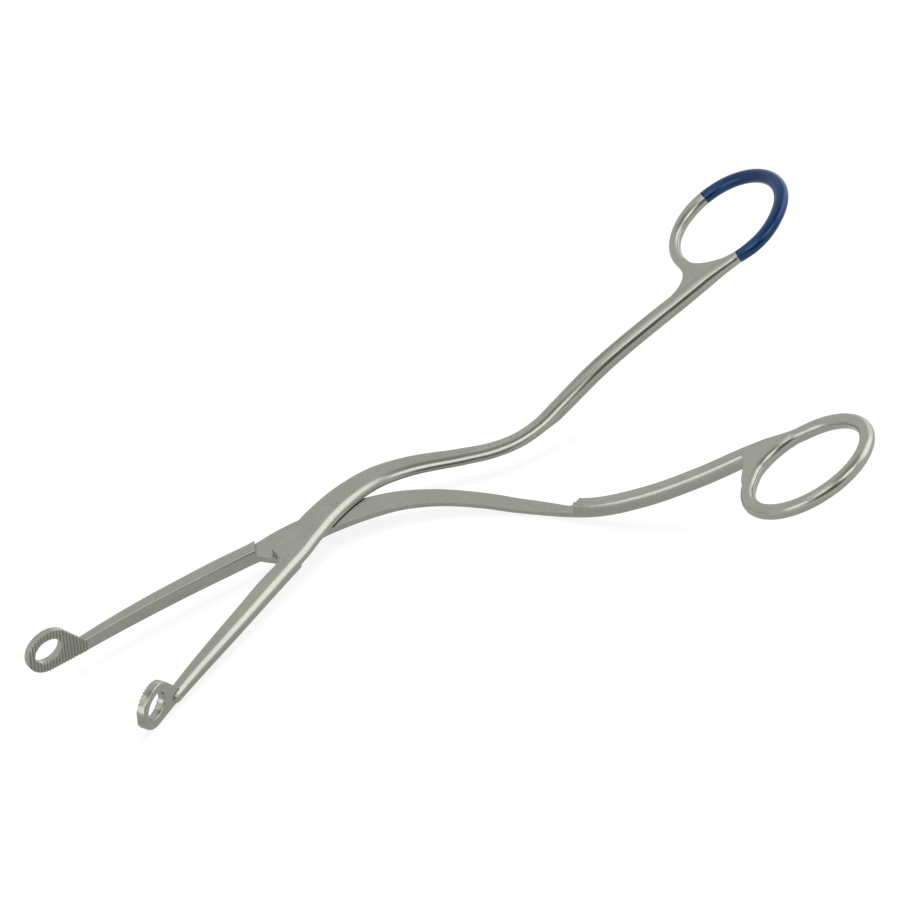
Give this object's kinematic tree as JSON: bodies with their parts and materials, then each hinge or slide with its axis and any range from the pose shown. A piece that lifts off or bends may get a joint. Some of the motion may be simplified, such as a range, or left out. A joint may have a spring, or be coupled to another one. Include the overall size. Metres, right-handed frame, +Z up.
{
  "type": "magill forceps",
  "caption": "Angled airway forceps: two lapped steel halves on a pivot screw, fenestrated serrated jaw pads, finger rings raised above the jaws, one ring lacquered blue.",
  "frame": {"origin": "middle of the bounding box's underside, on the surface that the forceps lie on", "axes": "+Z up with the forceps at rest on a table; the jaws point to -X, the finger rings to +X; the front side with the pivot's plain face looks up"},
  "size_m": [0.244, 0.1656, 0.0532],
  "materials": {
    "front_steel": "satin ground steel",
    "back_steel": "satin ground steel",
    "screw_steel": "turned steel",
    "blue_lacquer": "glossy blue lacquer"
  },
  "bodies": {
    "front": {"front_half": "front_steel", "blue_ring_coat": "blue_lacquer", "pivot_screw": "screw_steel"},
    "back": {"back_half": "back_steel"}
  },
  "joints": [
    {"name": "pivot", "type": "hinge", "parent": "front", "child": "back", "pos_m": [-0.03569, 0.06241, 0.00745], "axis": [-0.034, -0.1693, 0.985], "range_deg": [-12, 24]}
  ]
}
